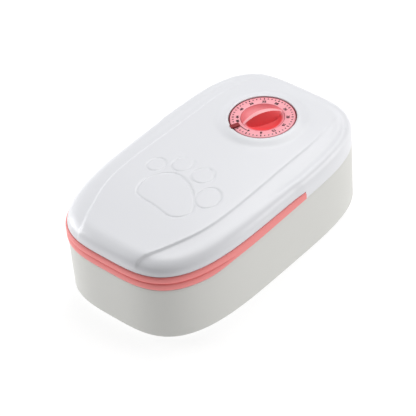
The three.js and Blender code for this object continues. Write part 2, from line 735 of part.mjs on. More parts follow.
function batteryDoor() {
  const plate = block([-doorHalfWidth, doorHalfWidth], [doorFront, doorRear],
    [linerRearZ, linerRearZ + linerThickness]);
  const stubs = crossRod(linerThickness / 2, [-doorHalfWidth - 1.4, doorHalfWidth + 1.4],
    doorFront + 0.9, linerRearZ + linerThickness / 2, 12);
  return join(plate, stubs);
}

// ---- The feeder ---------------------------------------------------------------------------
function finish(color, roughness, metalness = 0) {
  return new THREE.MeshStandardMaterial({ color, roughness, metalness });
}

const whitePlastic = finish("#e2e3e6", 0.42);
const basePlastic = finish("#dadad4", 0.5);
const coralPlastic = finish("#f0a0a0", 0.45);
const gripPlastic = finish("#f2605c", 0.4);
const dialPlastic = finish("#f7aab2", 0.42);
const markerPlastic = finish("#7d0f1e", 0.4);
const linerPlastic = finish("#e6e6e4", 0.5);
const rubber = finish("#3b3b3d", 0.85);
const sealRubber = finish("#d8d4d0", 0.7);
const steel = finish("#b9bcc0", 0.35, 1);
const gearPlastic = finish("#efece2", 0.5);
const latchPlastic = finish("#b9bcc2", 0.5);
const boardLaminate = finish("#2f6b3f", 0.6);
const blackResin = finish("#1d1d1f", 0.5);
const copper = finish("#b3683a", 0.4, 1);
const batterySleeve = finish("#4a5560", 0.4);

// The hinge stands out behind the body, so the whole is moved forward to centre it.
const feeder = new THREE.Group();
feeder.position.y = -hingeReach / 2;

function add(name, solid, material) {
  const mesh = new THREE.Mesh(toGeometry(solid), material);
  mesh.name = name;
  feeder.add(mesh);
}

add("base_shell", baseShell(), basePlastic);
footPlaces.forEach(([name, x, y]) => add(name, foot(x, y), rubber));
add("food_tray", foodTray(), coralPlastic);
add("latch_striker", latchStriker(), steel);
strikerScrewX.forEach((x, index) => add(`striker_screw_${index + 1}`, strikerScrew(x), steel));
add("hinge_pin", hingePin(), steel);
add("hinge_spring_right", coilSpring(baseKnuckle[1] + gap, endKnuckle[0] - gap, hingeY, hingeZ,
  springCoilRadius, springWire, springTurns), steel);
add("hinge_spring_left", coilSpring(gap - endKnuckle[0], -baseKnuckle[1] - gap, hingeY, hingeZ,
  springCoilRadius, springWire, springTurns), steel);

add("lid_shell", lidShell(), whitePlastic);
add("lid_liner", lidLiner(), linerPlastic);
add("lid_seal", lidSeal(), sealRubber);
add("dial_sleeve", dialSleeve(), markerPlastic);
add("pointer_marker", pointerMarker(), markerPlastic);
linerScrewPlaces.forEach(([x, y], index) => {
  const seat = y < trayRear ? linerFrontZ : linerRearZ;
  add(`liner_screw_${index + 1}`, uprightScrew(x, y, seat, 5), steel);
});
add("battery_door", batteryDoor(), linerPlastic);
add("aa_battery", battery(), batterySleeve);
add("battery_contact_plus", plusContact(), steel);
add("battery_contact_spring", coilSpring(-batteryHalfLength - 5, -batteryHalfLength - gap,
  batteryY, batteryZ, 3.4, springWire, 3), steel);

add("timer_plate", worksPlate(), linerPlastic);
worksScrewPlaces.forEach(([x, y], index) => (
  add(`timer_screw_${index + 1}`, uprightScrew(x, y, worksPlateZ, 6), steel)));
add("wheel_arbor", wheelArbor(), steel);
add("circuit_board", circuitBoard(), boardLaminate);
add("timer_chip", timerChip(), blackResin);
add("quartz_crystal", quartzCrystal(), steel);
add("stator_plate", statorPlate(), steel);
add("coil_core", coilCore(), steel);
add("motor_coil", motorCoil(), copper);
add("second_wheel", secondWheel(), gearPlastic);
add("rotor", rotor(), gearPlastic);

add("dial_ring", dialRing(), dialPlastic);
add("dial_knob", dialKnob(), gripPlastic);
add("dial_shaft", dialShaft(), gearPlastic);
add("dial_gear", dialGear(), gearPlastic);
add("release_cam", releaseCam(), gearPlastic);
add("latch_bolt", latchBolt(), latchPlastic);
add("latch_spring", latchSpring(), steel);

export default feeder;
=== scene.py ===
"""Pet feeder with a timer lid: fine surfaces, finishes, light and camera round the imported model."""
import json
import math

import bpy
import numpy as np
from mathutils import Matrix, Vector


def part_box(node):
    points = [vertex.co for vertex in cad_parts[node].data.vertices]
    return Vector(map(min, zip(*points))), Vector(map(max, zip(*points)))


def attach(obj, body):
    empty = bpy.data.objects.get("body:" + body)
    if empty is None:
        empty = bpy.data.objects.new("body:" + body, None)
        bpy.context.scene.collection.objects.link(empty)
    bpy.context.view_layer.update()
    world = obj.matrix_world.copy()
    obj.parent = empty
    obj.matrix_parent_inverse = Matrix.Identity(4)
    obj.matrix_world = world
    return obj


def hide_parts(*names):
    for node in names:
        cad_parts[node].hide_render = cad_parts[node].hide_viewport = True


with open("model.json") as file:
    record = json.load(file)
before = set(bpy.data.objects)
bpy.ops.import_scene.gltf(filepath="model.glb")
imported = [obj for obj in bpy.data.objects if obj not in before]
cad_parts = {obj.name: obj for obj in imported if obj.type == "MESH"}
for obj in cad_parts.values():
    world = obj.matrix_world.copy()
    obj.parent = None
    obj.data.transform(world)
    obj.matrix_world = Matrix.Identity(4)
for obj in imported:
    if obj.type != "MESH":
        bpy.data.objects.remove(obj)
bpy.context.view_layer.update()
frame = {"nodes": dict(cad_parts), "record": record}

bl_info = {
    "name": "Timer lid pet feeder",
    "version": (1, 0, 0),
    "blender": (4, 5, 0),
    "location": "View3D > Sidebar > Feeder",
    "description": "Builds the shells, tray, dial and finishes of a single meal pet feeder",
    "category": "Object",
}

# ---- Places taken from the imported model, in millimetres ------------------------------------
MM = 0.001
TRAY_LOW, TRAY_HIGH = (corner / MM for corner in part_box("food_tray"))
RING_LOW, RING_HIGH = (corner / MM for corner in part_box("dial_ring"))
KNOB_LOW, KNOB_HIGH = (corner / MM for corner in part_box("dial_knob"))
SLEEVE_LOW, SLEEVE_HIGH = (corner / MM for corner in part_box("dial_sleeve"))
PIN_LOW, PIN_HIGH = (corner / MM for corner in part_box("hinge_pin"))
HALF_LENGTH = 120.0
HALF_WIDTH = TRAY_HIGH.x
CENTRE_Y = TRAY_LOW.y + HALF_LENGTH
TRAY_REAR = TRAY_HIGH.y - CENTRE_Y
DIAL_Y = (RING_LOW.y + RING_HIGH.y) / 2 - CENTRE_Y
DIAL_RADIUS = RING_HIGH.x
DIAL_TOP = RING_HIGH.z
KNOB_RADIUS = 17.3
POCKET_RADIUS = SLEEVE_HIGH.x + 0.3
HINGE_Y = (PIN_LOW.y + PIN_HIGH.y) / 2 - CENTRE_Y
HINGE_Z = (PIN_LOW.z + PIN_HIGH.z) / 2
FACE_TURN = math.radians(-24)
FRONT_FULLNESS = 3.5
REAR_FULLNESS = 4.0
LID_EDGE = TRAY_HIGH.z + 0.3
SEAM = 56.6
FIELD_TOP = 78.4
BASE_INSET = 0.8
LID_INSET = 1.5
RIM_TOP = DIAL_TOP + 0.7
BASE_FLOOR = 2.0
BASE_ROUNDING = 3.0
BASE_WALL = 2.4
RIM_WIDTH = 8.0
BOWL_FLOOR = 24.0
BOWL_ROUNDING = 11.0
TRAY_WALL = 2.2
BAND_GAP = 0.3
KNUCKLE_RADIUS = 3.0
KNUCKLE_WEB = 7.0


# ---- Sizes and colours that a user would change --------------------------------------------
class FeederSizes(bpy.types.PropertyGroup):
    """Depths of the moulded detail."""

    paw_depth: bpy.props.FloatProperty(
        name="Paw line depth", description="Depth of the paw outline in the lid, in mm", default=0.6)
    crease_depth: bpy.props.FloatProperty(
        name="Crease depth", description="Step beside the raised field of the lid, in mm", default=1.7)
    groove_depth: bpy.props.FloatProperty(
        name="Band groove depth", description="Groove between the band's two beads, in mm", default=1.1)
    wall: bpy.props.FloatProperty(
        name="Wall", description="Thickness of the lid's moulding, in mm", default=2.2)


class FeederColours(bpy.types.PropertyGroup):
    """sRGB hex values of the finishes."""

    lid: bpy.props.StringProperty(name="Lid", description="Glossy cool white", default="E4E5E9")
    # The base's warm tint is a painted reflection of warm light on its upright walls, beside the lid's
    # cooler white
    base: bpy.props.StringProperty(name="Base", description="Satin warm white", default="D6D6D2")
    band: bpy.props.StringProperty(name="Band", description="Coral of the tray", default="F68B89")
    dial: bpy.props.StringProperty(name="Dial", description="Pale pink of the dial's ring", default="FBA9B2")
    # knob, recess and crest are one pink plastic painted three ways: coral is painted shade with reflected
    # red in front of the bar, recess is the lit pink of the dish behind it, crest is a painted highlight on
    # the bar's top
    knob: bpy.props.StringProperty(name="Knob", description="Coral of the knob", default="F2484C")
    recess: bpy.props.StringProperty(name="Recess", description="Dish behind the bar", default="EE8087")
    crest: bpy.props.StringProperty(name="Crest", description="Top of the knob's bar", default="FFB2B6")
    # maroon is the pointer's own colour; on the sleeve, seen in the gap round the dial, it is painted shade
    # standing in for the gap's shadow
    maroon: bpy.props.StringProperty(name="Maroon", description="Sleeve and pointer", default="8A0C18")


def hex_colour(text):
    """Linear RGBA of an sRGB hex value."""
    values = [int(text[i:i + 2], 16) / 255 for i in (0, 2, 4)]
    return [v / 12.92 if v <= 0.04045 else ((v + 0.055) / 1.055) ** 2.4 for v in values] + [1.0]


# ---- Shapes in numbers ---------------------------------------------------------------------
def smooth_step(low, high, value):
    """0 below low, 1 above high, and an even S between them."""
    share = np.clip((value - low) / (high - low), 0.0, 1.0)
    return share * share * (3 - 2 * share)


def smooth_curve(points, steps, closed=False):
    """A Catmull-Rom curve through the points, steps to a span."""
    knots = np.array(points, float)
    count = len(knots)
    spans = count if closed else count - 1
    curve = []
    for i in range(spans):
        if closed:
            a, b, c, d = (knots[(i + k) % count] for k in (-1, 0, 1, 2))
        else:
            a, b, c, d = (knots[min(max(i + k, 0), count - 1)] for k in (-1, 0, 1, 2))
        for t in np.linspace(0, 1, steps, endpoint=False):
            curve.append(0.5 * (2 * b + (c - a) * t + (2 * a - 5 * b + 4 * c - d) * t ** 2
                                + (3 * b - a - 3 * c + d) * t ** 3))
    if not closed:
        curve.append(knots[-1])
    return np.array(curve)


def fullness(y):
    """The superellipse power of the front or the rear half."""
    return np.where(np.asarray(y) < 0, FRONT_FULLNESS, REAR_FULLNESS)


def outline_point(angle, inset):
    """A point of the body's outline in a direction from the centre, moved inwards by inset."""
    c = math.cos(angle)
    s = math.sin(angle)
    power = FRONT_FULLNESS if s < 0 else REAR_FULLNESS
    wide = HALF_WIDTH - inset
    long = HALF_LENGTH - inset
    reach = ((abs(c) / wide) ** power + (abs(s) / long) ** power) ** (-1 / power)
    return reach * c, reach * s


def width_at(y, inset):
    """Half width of the outline at y."""
    power = FRONT_FULLNESS if y < 0 else REAR_FULLNESS
    share = min(abs(y) / (HALF_LENGTH - inset), 1.0)
    return (HALF_WIDTH - inset) * (1 - share ** power) ** (1 / power)


def lid_inset(y):
    """How far the lid's wall is inside the band: flush with the base behind the tray."""
    return LID_INSET + (BASE_INSET - LID_INSET) * smooth_step(TRAY_REAR - 12, TRAY_REAR, y)


def edge_distance(x, y, inset):
    """About how far a point is inside the outline."""
    wide = HALF_WIDTH - inset
    long = HALF_LENGTH - inset
    power = fullness(y)
    u = np.maximum(np.abs(x) / wide, 1e-6)
    v = np.maximum(np.abs(y) / long, 1e-6)
    level = (u ** power + v ** power) ** (1 / power)
    slope = level ** (1 - power) * np.hypot(u ** (power - 1) / wide, v ** (power - 1) / long)
    return np.maximum(1 - level, 0) / np.maximum(slope, 1e-6)


# The crease beside the lid's raised field: half width at places along Y, front to rear.
CREASE = [(33, -124), (29, -113), (38, -92), (48, -63), (51, -30), (50, 30), (49, 72), (42, 108), (34, 124)]
CREASE_STRENGTH = [(-122, 0.6), (-110, 1.1), (-85, 1.1), (-40, 0.9), (20, 0.75), (60, 0.6), (95, 0.35),
                   (122, 0)]
FLANK_SLOPE = [(-122, 0.05), (-60, 0.07), (0, 0.1), (40, 0.13), (90, 0.12), (122, 0.08)]
ROUND_WIDTH = [(-122, 13), (-60, 12), (0, 8), (25, 5.5), (90, 5.5), (122, 9)]
ROUND_HEIGHT = [(-122, 8.5), (-60, 7.5), (0, 5.5), (25, 4.5), (90, 4.5), (122, 6)]


def along(table, y):
    """A value read off a table of (y, value)."""
    places, values = zip(*table)
    return np.interp(y, places, values)


def lid_surface(x, y, crease_depth):
    """Height of the lid's top, without the dial's rim and the paw."""
    curve = smooth_curve([(y_, x_) for x_, y_ in CREASE], 12)
    crease = np.interp(y, curve[:, 0], curve[:, 1])
    slope = np.gradient(curve[:, 1], curve[:, 0])
    lean = np.interp(y, curve[:, 0], slope)
    outside = (np.abs(x) - crease) / np.hypot(1, lean)
    crown = 0.6 * (np.minimum(np.abs(x), crease) / 50) ** 2 + 2.6 * smooth_step(30, 115, -y) ** 1.5
    crown += 0.8 * smooth_step(60, 120, y)
    height = FIELD_TOP - crown
    depth = crease_depth * along(CREASE_STRENGTH, y)
    inside = np.minimum(outside, 0)
    beyond = np.maximum(outside, 0)
    height -= 0.2 * depth * np.exp(inside / 1.0)
    height -= np.where(outside > 0, 0.8 * depth * (1 - np.exp(-beyond / 0.7)), 0)
    height -= along(FLANK_SLOPE, y) * beyond
    edge = edge_distance(x, y, lid_inset(y))
    rear = smooth_step(-30, 30, y) * (1 - smooth_step(92, 116, y))
    height -= rear * 0.8 * np.exp(-((edge - 10) / 3.5) ** 2)
    width = along(ROUND_WIDTH, y)
    drop = along(ROUND_HEIGHT, y)
    inward = np.clip(1 - edge / width, 0, 1)
    return height - drop * (1 - np.sqrt(np.maximum(1 - inward ** 2, 0)))


# The paw: points round the pad, and each toe's middle, half width, half length and lean in degrees.
PAW_PAD = [(-25, -47), (-19, -61), (0, -64), (20, -66), (29, -55), (20, -40), (4, -29), (-11, -27),
           (-21, -35)]
PAW_TOES = [(-30, -27, 7, 8, 0), (-13.5, -15, 8, 9, 0), (8, -16.5, 9, 9, 0), (28.5, -34, 9.5, 12, 18)]
PAW_LINE_WIDTH = 0.75


def paw_outlines():
    """The pad and four toes, as closed curves."""
    outlines = [smooth_curve(PAW_PAD, 13, closed=True)]
    for x, y, wide, tall, lean in PAW_TOES:
        turn = np.linspace(0, 2 * math.pi, 72, endpoint=False)
        u = wide * np.cos(turn)
        v = tall * np.sin(turn)
        tilt = math.radians(lean)
        px = x + u * math.cos(tilt) - v * math.sin(tilt)
        py = y + u * math.sin(tilt) + v * math.cos(tilt)
        outlines.append(np.column_stack([px, py]))
    return outlines


def paw_groove(x, y):
    """1 on the paw's lines, falling to 0 beside them."""
    groove = np.zeros_like(x)
    near = (np.abs(x) < 43) & (y > -75) & (y < -7)
    px = x[near][:, None]
    py = y[near][:, None]
    line = np.zeros(px.shape[0])
    for outline in paw_outlines():
        ends = np.roll(outline, -1, axis=0)
        along_x = ends[:, 0] - outline[:, 0]
        along_y = ends[:, 1] - outline[:, 1]
        from_x = px - outline[:, 0]
        from_y = py - outline[:, 1]
        share = (from_x * along_x + from_y * along_y) / (along_x ** 2 + along_y ** 2)
        share = np.clip(share, 0, 1)
        away = np.hypot(from_x - share * along_x, from_y - share * along_y).min(axis=1)
        line = np.maximum(line, np.exp(-(away / PAW_LINE_WIDTH) ** 2))
    groove[near] = line
    return groove


def lid_height(x, y, sizes):
    """Height of the finished lid top, rim and paw included."""
    height = lid_surface(x, y, sizes.crease_depth)
    reach = np.hypot(x, y - DIAL_Y)
    rim = 1 - smooth_step(POCKET_RADIUS + 1.0, POCKET_RADIUS + 11.0, reach)
    lip = 0.5 * (1 - smooth_step(POCKET_RADIUS, POCKET_RADIUS + 1.0, reach))
    height = height + (RIM_TOP - height) * rim - lip
    return height - sizes.paw_depth * paw_groove(x, y)


# ---- Modelling helpers ---------------------------------------------------------------------
def clear_selection():
    """Leaves nothing selected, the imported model's nodes included."""
    if bpy.context.object and bpy.context.object.mode != "OBJECT":
        bpy.ops.object.mode_set(mode="OBJECT")
    bpy.ops.object.select_all(action="DESELECT")


def to_frame(x, y, z):
    """Millimetres from the body's centre to metres in the model's frame."""
    return Vector((x * MM, (y + CENTRE_Y) * MM, z * MM))


def select_only(piece):
    """Selects one piece and makes it active."""
    clear_selection()
    piece.select_set(True)
    bpy.context.view_layer.objects.active = piece


def select_none_of(piece, kind):
    """Readies a piece for its VERT, EDGE or FACE elements to be selected in code."""
    select_only(piece)
    bpy.ops.object.mode_set(mode="EDIT")
    bpy.ops.mesh.select_mode(type=kind)
    bpy.ops.mesh.select_all(action="DESELECT")
    bpy.ops.object.mode_set(mode="OBJECT")


def edit(piece, *steps):
    """Runs mesh operators on a piece with everything in it selected."""
    select_only(piece)
    bpy.ops.object.mode_set(mode="EDIT")
    for step in steps:
        bpy.ops.mesh.select_all(action="SELECT")
        step()
    bpy.ops.object.mode_set(mode="OBJECT")


def close_up():
    """Merges the seam and turns the faces outwards."""
    bpy.ops.mesh.remove_doubles(threshold=0.002 * MM)
    bpy.ops.mesh.select_all(action="SELECT")
    bpy.ops.mesh.normals_make_consistent(inside=False)


def smooth(piece, degrees=35):
    """Smooth shading, with edges sharper than degrees kept."""
    select_only(piece)
    bpy.ops.object.shade_smooth_by_angle(angle=math.radians(degrees))


def apply_modifier(piece, kind, **settings):
    """Adds one modifier and applies it."""
    modifier = piece.modifiers.new(kind.title(), kind)
    for name, value in settings.items():
        setattr(modifier, name, value)
    select_only(piece)
    bpy.ops.object.modifier_apply(modifier=modifier.name)


def grid_piece(name, columns, rows):
    """A flat grid with the given number of cells, and its columns and rows as shares."""
    clear_selection()
    bpy.ops.mesh.primitive_grid_add(x_subdivisions=columns, y_subdivisions=rows, size=2)
    piece = bpy.context.object
    piece.name = name
    piece.data.name = name
    flat = np.zeros(len(piece.data.vertices) * 3)
    piece.data.vertices.foreach_get("co", flat)
    flat = flat.reshape(-1, 3)
    return piece, (flat[:, 0] + 1) / 2, (flat[:, 1] + 1) / 2


def set_points(piece, x, y, z):
    """Puts a piece's vertices at millimetres from the body's centre."""
    points = np.column_stack([x * MM, (y + CENTRE_Y) * MM, z * MM])
    piece.data.vertices.foreach_set("co", points.ravel())
    piece.data.update()


def rolled(name, columns, rows, place):
    """A grid rolled into a closed ring: place(share round, row number) gives millimetres."""
    piece, u, v = grid_piece(name, columns, rows)
    row = np.rint(v * rows).astype(int)
    points = np.array([place(share, int(number)) for share, number in zip(u, row)])
    set_points(piece, *points.T)
    edit(piece, close_up)
    return piece


def turned(name, profile, columns=96, turn=0.0):
    """A profile of (radius, height) turned about the dial's axis."""
    def place(share, row):
        radius, height = profile[row]
        angle = 2 * math.pi * share + turn
        return radius * math.cos(angle), DIAL_Y + radius * math.sin(angle), height
    return rolled(name, columns, len(profile) - 1, place)


def joined(name, parts):
    """Several meshes made one piece."""
    clear_selection()
    for part in parts:
        part.select_set(True)
    bpy.context.view_layer.objects.active = parts[0]
    if len(parts) > 1:
        bpy.ops.object.join()
    parts[0].name = name
    parts[0].data.name = name
    return parts[0]


def place_applied(piece):
    """Puts a piece's place, turn and size into its mesh."""
    select_only(piece)
    bpy.ops.object.transform_apply(location=True, rotation=True, scale=True)


def finished(piece, material, body, stands_for=()):
    """Gives a piece its finish, its body and the node it stands for."""
    piece.data.materials.clear()
    piece.data.materials.append(material)
    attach(piece, body)
    if stands_for:
        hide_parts(*stands_for)
    return piece


# ---- Materials -----------------------------------------------------------------------------
def add_node(tree, kind, settings=None, **links):
    """Adds a node; links are input names with underscores for spaces, given a value or a socket."""
    made = tree.nodes.new(kind)
    for name, value in (settings or {}).items():
        setattr(made, name, value)
    for name, value in links.items():
        socket = made.inputs[name.replace("_", " ")]
        if isinstance(value, bpy.types.NodeSocket):
            tree.links.new(value, socket)
        else:
            socket.default_value = value
    return made


def new_material(name):
    """An empty node material, its tree and its output."""
    material = bpy.data.materials.new(name)
    material.use_nodes = True
    tree = material.node_tree
    tree.nodes.clear()
    return material, tree, tree.nodes.new("ShaderNodeOutputMaterial")


def per_metre(millimetres):
    """Noise scale whose features are about this many millimetres across."""
    return 1 / (millimetres * MM)


def moulded(name, colour, roughness, grain, bump, tint=0.03, coat=0.0):
    """Injection moulded plastic: even colour with slow drift, and a spark eroded grain in the gloss."""
    material, tree, output = new_material(name)
    place = add_node(tree, "ShaderNodeTexCoord").outputs["Object"]
    drift = add_node(tree, "ShaderNodeTexNoise", Vector=place, Scale=per_metre(45), Detail=2.0)
    base = hex_colour(colour)
    dark = [v * (1 - tint) for v in base[:3]] + [1]
    light = [min(v * (1 + tint), 1) for v in base[:3]] + [1]
    shade = add_node(tree, "ShaderNodeMix", {"data_type": "RGBA"})
    tree.links.new(drift.outputs["Fac"], shade.inputs["Factor"])
    shade.inputs[6].default_value = dark
    shade.inputs[7].default_value = light
    fine = add_node(tree, "ShaderNodeTexNoise", Vector=place, Scale=per_metre(grain), Detail=3.0)
    sheen = add_node(tree, "ShaderNodeMapRange", Value=fine.outputs["Fac"])
    sheen.inputs["To Min"].default_value = roughness - 0.04
    sheen.inputs["To Max"].default_value = roughness + 0.04
    relief = add_node(tree, "ShaderNodeBump", Height=fine.outputs["Fac"], Strength=bump, Distance=0.05 * MM)
    shader = add_node(tree, "ShaderNodeBsdfPrincipled", Base_Color=shade.outputs[2],
                      Roughness=sheen.outputs["Result"], Normal=relief.outputs["Normal"])
    shader.inputs["IOR"].default_value = 1.5
    shader.inputs["Coat Weight"].default_value = coat
    shader.inputs["Coat Roughness"].default_value = 0.2
    tree.links.new(shader.outputs["BSDF"], output.inputs["Surface"])
    return material


def knob_acrylic(name, colour, rim_colour, from_radius, to_radius):
    """Translucent acrylic knob with painted light: one colour in its middle, blending to another towards its
    rim, as the knob's shade and highlight fading out towards its edge.
    """
    material, tree, output = new_material(name)
    place = add_node(tree, "ShaderNodeTexCoord").outputs["Object"]
    flat = add_node(tree, "ShaderNodeVectorMath", {"operation": "MULTIPLY_ADD"})
    tree.links.new(place, flat.inputs[0])
    flat.inputs[1].default_value = (1, 1, 0)
    flat.inputs[2].default_value = (0, -(DIAL_Y + CENTRE_Y) * MM, 0)
    reach = add_node(tree, "ShaderNodeVectorMath", {"operation": "LENGTH"})
    tree.links.new(flat.outputs["Vector"], reach.inputs[0])
    share = add_node(tree, "ShaderNodeMapRange", {"interpolation_type": "SMOOTHSTEP"},
                     Value=reach.outputs["Value"])
    share.inputs["From Min"].default_value = from_radius * MM
    share.inputs["From Max"].default_value = to_radius * MM
    # Painted light: the colour shifts with the distance from the dial's axis, standing in for shade that
    # fades towards the rim
    shade = add_node(tree, "ShaderNodeMix", {"data_type": "RGBA"})
    tree.links.new(share.outputs["Result"], shade.inputs["Factor"])
    shade.inputs[6].default_value = hex_colour(colour)
    shade.inputs[7].default_value = hex_colour(rim_colour)
    fine = add_node(tree, "ShaderNodeTexNoise", Vector=place, Scale=per_metre(0.8), Detail=2.0)
    relief = add_node(tree, "ShaderNodeBump", Height=fine.outputs["Fac"], Strength=0.1, Distance=0.04 * MM)
    shader = add_node(tree, "ShaderNodeBsdfPrincipled", Base_Color=shade.outputs[2],
                      Normal=relief.outputs["Normal"])
    shader.inputs["Roughness"].default_value = 0.4
    shader.inputs["IOR"].default_value = 1.49
    tree.links.new(shader.outputs["BSDF"], output.inputs["Surface"])
    return material


def metal(name, colour, roughness, grain):
    """Drawn or stamped metal with fine streaks in its gloss."""
    material, tree, output = new_material(name)
    place = add_node(tree, "ShaderNodeTexCoord").outputs["Object"]
    streak = add_node(tree, "ShaderNodeTexNoise", Vector=place, Scale=per_metre(grain), Detail=4.0)
    gloss = add_node(tree, "ShaderNodeMapRange", Value=streak.outputs["Fac"])
    gloss.inputs["To Min"].default_value = roughness - 0.08
    gloss.inputs["To Max"].default_value = roughness + 0.08
    shader = add_node(tree, "ShaderNodeBsdfPrincipled", Roughness=gloss.outputs["Result"])
    shader.inputs["Base Color"].default_value = hex_colour(colour)
    shader.inputs["Metallic"].default_value = 1.0
    tree.links.new(shader.outputs["BSDF"], output.inputs["Surface"])
    return material


def finish(name):
    """A finish by name, made once."""
    if name in bpy.data.materials:
        return bpy.data.materials[name]
    colours = bpy.context.scene.feeder_colours
    recipes = {
        "gloss_white_abs": lambda: moulded(name, colours.lid, 0.38, 0.9, 0.08, 0.012, 0.15),
        "satin_white_abs": lambda: moulded(name, colours.base, 0.5, 0.8, 0.12, 0.015),
        "coral_polypropylene": lambda: moulded(name, colours.band, 0.42, 1.0, 0.1, 0.03),
        "pink_dial_abs": lambda: moulded(name, colours.dial, 0.4, 0.8, 0.08, 0.03),
        # The knob's three finishes are one pink plastic with painted light: painted shade in coral, lit pink
        # in the dish, a painted highlight on the crest
        "knob_coral_painted_shade": lambda: knob_acrylic(name, colours.knob, colours.dial, 14.0, 17.0),
        "knob_pink_painted_light": lambda: knob_acrylic(name, colours.recess, colours.recess, 14.0, 17.0),
        "knob_crest_painted_highlight": lambda: knob_acrylic(name, colours.crest, colours.dial, 10.0, 17.0),
        "maroon_and_gap_shade": lambda: moulded(name, colours.maroon, 0.6, 0.8, 0.08, 0.05),
        "dial_ink": lambda: moulded(name, "35101A", 0.7, 0.5, 0.05, 0.05),
        "natural_acetal": lambda: moulded(name, "EFECE2", 0.45, 0.8, 0.1, 0.03),
        "grey_acetal": lambda: moulded(name, "B4B7BD", 0.45, 0.8, 0.1, 0.03),
        "white_liner_abs": lambda: moulded(name, "E6E6E4", 0.55, 0.7, 0.15, 0.02),
        "silicone_seal": lambda: moulded(name, "D8D4D0", 0.7, 1.2, 0.2, 0.04),
        "foot_rubber": lambda: moulded(name, "3B3B3D", 0.8, 1.0, 0.4, 0.08),
        "board_laminate": lambda: moulded(name, "2F6B3F", 0.5, 0.6, 0.2, 0.08),
        "black_resin": lambda: moulded(name, "1D1D1F", 0.5, 0.6, 0.2, 0.05),
        "battery_sleeve": lambda: moulded(name, "4A5560", 0.35, 1.5, 0.1, 0.05, 0.3),
        "bright_steel": lambda: metal(name, "C0C3C7", 0.3, 0.6),
        "enamelled_copper": lambda: metal(name, "B3683A", 0.35, 0.3),
    }
    return recipes[name]()


# ---- Lid -----------------------------------------------------------------------------------
def even_lines(stops, steps):
    """Places from stop to stop, at about the given step in each span."""
    places = [stops[0]]
    for low, high, step in zip(stops, stops[1:], steps):
        count = max(int(round((high - low) / step)), 1)
        places.extend(low + (high - low) * (i + 1) / count for i in range(count))
    return np.array(places)


def lid_top(sizes):
    """The lid's moulding: a grid laid over its top, folded down at the edge and in at the dial."""
    wide = HALF_WIDTH - BASE_INSET
    long = HALF_LENGTH - BASE_INSET
    hole = POCKET_RADIUS
    xs = even_lines([-wide, -56, -42, -hole, hole, 42, 56, wide], [1.2, 0.6, 0.6, 0.6, 0.6, 0.6, 1.2])
    ys = even_lines([-long, -73, -9, TRAY_REAR + 0.3, DIAL_Y - hole, DIAL_Y + hole, long],
                    [1.3, 0.6, 1.5, 1.2, 1.3, 1.3])
    piece, u, v = grid_piece("lid_top", len(xs) - 1, len(ys) - 1)
    x = xs[np.rint(u * (len(xs) - 1)).astype(int)]
    y = ys[np.rint(v * (len(ys) - 1)).astype(int)]
    x, y = round_the_dial(x, y, hole)
    x, y = fill_the_outline(x, y, wide, long)
    set_points(piece, x, y, lid_height(x, y, sizes))
    blunt_the_corners(piece, u, v, len(xs) - 1, len(ys) - 1)
    open_the_pocket(piece, hole)
    fold_edge(piece, lambda c: math.hypot(c.x, c.y - DIAL_Y) < hole + 1, SLEEVE_LOW.z - 0.3)
    fold_edge(piece, lambda c: math.hypot(c.x, c.y - DIAL_Y) > hole + 8, LID_EDGE)
    fold_edge(piece, lambda c: c.y > TRAY_REAR + 0.25 and c.z < LID_EDGE + 0.01, SEAM + 0.12)
    edit(piece, lambda: bpy.ops.mesh.normals_make_consistent(inside=False))
    apply_modifier(piece, "SOLIDIFY", thickness=sizes.wall * MM, offset=-1.0)
    smooth(piece, 40)
    return piece


def round_the_dial(x, y, hole):
    """Bends the grid's squares about the dial into circles, so that one of them is the pocket's edge."""
    dx = x
    dy = y - DIAL_Y
    square = np.maximum(np.abs(dx), np.abs(dy))
    reach = np.maximum(np.hypot(dx, dy), 1e-6)
    fade = smooth_step(hole, 50, square)
    scale = np.where(square > 1e-6, square / reach, 1) * (1 - fade) + fade
    return dx * scale, DIAL_Y + dy * scale


def fill_the_outline(x, y, wide, long):
    """Draws the corners of the square grid in to the body's outline."""
    p = x / wide
    q = y / long
    square = np.maximum(np.maximum(np.abs(p), np.abs(q)), 1e-6)
    power = fullness(y)
    level = (np.abs(p) ** power + np.abs(q) ** power) ** (1 / power)
    start = np.where(y < 0, 0.55, 0.76)    # the rear starts outside the dial's pocket
    scale = 1 + (square / np.maximum(level, 1e-6) - 1) * smooth_step(start, 1.0, square)
    from_centre = np.maximum(np.hypot(x, y), 1e-6)
    pull = (lid_inset(y) - BASE_INSET) * smooth_step(0.9, 1.0, square) / from_centre
    return x * (scale - pull), y * (scale - pull)


def blunt_the_corners(piece, u, v, columns, rows):
    """Draws each corner of the grid and its neighbours into one point, as the outline is round."""
    from_corner = np.minimum(u, 1 - u) * columns + np.minimum(v, 1 - v) * rows
    select_none_of(piece, "VERT")
    for vertex, steps in zip(piece.data.vertices, from_corner):
        vertex.select = bool(steps < 1.5)
    bpy.ops.object.mode_set(mode="EDIT")
    bpy.ops.mesh.merge(type="COLLAPSE")
    bpy.ops.object.mode_set(mode="OBJECT")


def open_the_pocket(piece, hole):
    """Deletes the grid's faces inside the dial's pocket."""
    select_none_of(piece, "FACE")
    for face in piece.data.polygons:
        centre = face.center / MM
        face.select = math.hypot(centre.x, centre.y - CENTRE_Y - DIAL_Y) < hole - 0.1
    bpy.ops.object.mode_set(mode="EDIT")
    bpy.ops.mesh.delete(type="FACE")
    bpy.ops.object.mode_set(mode="OBJECT")


